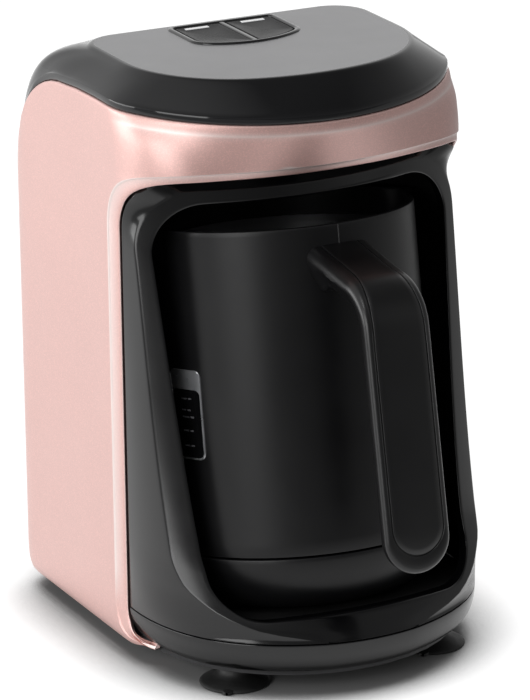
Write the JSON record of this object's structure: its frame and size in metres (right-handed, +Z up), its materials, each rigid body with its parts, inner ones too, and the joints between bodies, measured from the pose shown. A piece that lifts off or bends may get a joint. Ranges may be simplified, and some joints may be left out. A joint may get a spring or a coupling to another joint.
{
  "type": "electric turkish coffee maker",
  "caption": "Countertop coffee maker with a rounded housing, an open front niche, two top buttons and a leaning lift-out heated pot with a side-hung handle.",
  "frame": {"origin": "centre of the bounding box in plan, on the surface that the feet stand on", "axes": "+Z up and the longest extent, +X to the right seen from the front and the shortest extent, -Y to the front where the handle is"},
  "size_m": [0.16, 0.2414, 0.2645],
  "materials": {
    "rose_paint": "metallic rose lacquer, satin gloss",
    "cap_black": "glossy bevel, satin flat top",
    "gloss_black": "high gloss",
    "satin_black": "fine grain",
    "niche_black": "fine grain, satin",
    "sensor_grey": "smooth",
    "contact_brass": "plated",
    "button_black": "high gloss",
    "light_white": "translucent white",
    "natural_white": "natural nylon",
    "board_green": "solder mask",
    "screw_steel": "zinc plated",
    "relay_blue": "moulded",
    "capacitor_grey": "shrink sleeve",
    "wire_white": "insulation",
    "foot_rubber": "matt",
    "pot_black": "satin, fine grain",
    "seal_silicone": "matt silicone",
    "cup_steel": "drawn and brushed",
    "heater_aluminium": "cast",
    "grip_black": "satin",
    "gauge_silver": "printed foil, black field"
  },
  "bodies": {
    "housing": {"outer_shell": "rose_paint", "top_cap": "cap_black", "rear_cover": "satin_black", "front_fascia": "gloss_black", "base_ring": "gloss_black", "foot_plate": "satin_black", "niche_liner": "niche_black", "niche_floor": "niche_black", "niche_ceiling": "niche_black", "boil_sensor": "sensor_grey", "socket_block": "satin_black", "contact_pins": "contact_brass", "button_frame": "gloss_black", "control_board": "board_green", "tact_switches": "satin_black", "indicator_leds": "light_white", "buzzer": "satin_black", "board_screws": "screw_steel", "power_board": "board_green", "mains_relay": "relay_blue", "filter_capacitor": "capacitor_grey", "wiring_loom": "wire_white", "cord_gland": "foot_rubber", "foot_cups": "foot_rubber", "foot_studs": "screw_steel", "plate_screws": "screw_steel", "rear_screws": "screw_steel"},
    "pot": {"pot_shell": "pot_black", "seal_ring": "seal_silicone", "pot_cup": "cup_steel", "pot_base": "pot_black", "heater_plate": "heater_aluminium", "heating_ring": "heater_aluminium", "thermostat": "natural_white", "contact_block": "satin_black", "grip": "grip_black", "grip_inlay": "grip_black", "grip_screws": "screw_steel", "level_gauge": "gauge_silver"},
    "left_button": {"left_button": "button_black", "left_light_bar": "light_white", "left_plunger": "natural_white"},
    "right_button": {"right_button": "button_black", "right_light_bar": "light_white", "right_plunger": "natural_white"}
  },
  "joints": [
    {"name": "pot_slide", "type": "slide", "parent": "housing", "child": "pot", "axis": [0, -0.9886, 0.1504], "range_m": [0, 0.16]},
    {"name": "left_button_press", "type": "slide", "parent": "housing", "child": "left_button", "axis": [0, 0, -1], "range_m": [0, 0.0015], "stiffness_N_per_m": 1000, "springref_m": -0.0005},
    {"name": "right_button_press", "type": "slide", "parent": "housing", "child": "right_button", "axis": [0, 0, -1], "range_m": [0, 0.0015], "stiffness_N_per_m": 1000, "springref_m": -0.0005}
  ]
}
